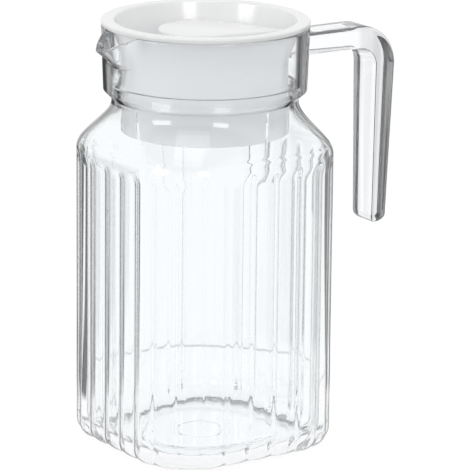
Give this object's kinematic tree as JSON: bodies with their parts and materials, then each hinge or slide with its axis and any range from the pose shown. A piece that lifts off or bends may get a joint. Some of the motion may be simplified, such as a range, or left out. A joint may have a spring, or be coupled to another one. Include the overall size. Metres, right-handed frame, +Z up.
{
  "type": "carafe with lid",
  "caption": "Clear plastic carafe with a fluted rounded-square body, round neck, pouring lip, open hook handle and a white dished lid that lifts out of the neck.",
  "frame": {"origin": "on the axis of the round neck, at the underside of the base", "axes": "+Z up out of the mouth, +X towards the handle, -X towards the pouring lip"},
  "size_m": [0.1469, 0.094, 0.1823],
  "materials": {
    "clear_plastic": "clear, polished",
    "white_plastic": "smooth, semi-gloss"
  },
  "bodies": {
    "jug": {"fluted_body": "clear_plastic", "neck_section": "clear_plastic", "handle": "clear_plastic"},
    "lid": {"lid_cap": "white_plastic", "lid_skirt": "white_plastic", "lid_grip": "white_plastic"}
  },
  "joints": [
    {"name": "lid_lift", "type": "slide", "parent": "jug", "child": "lid", "axis": [0, 0, 1], "range_m": [0, 0.08]}
  ]
}
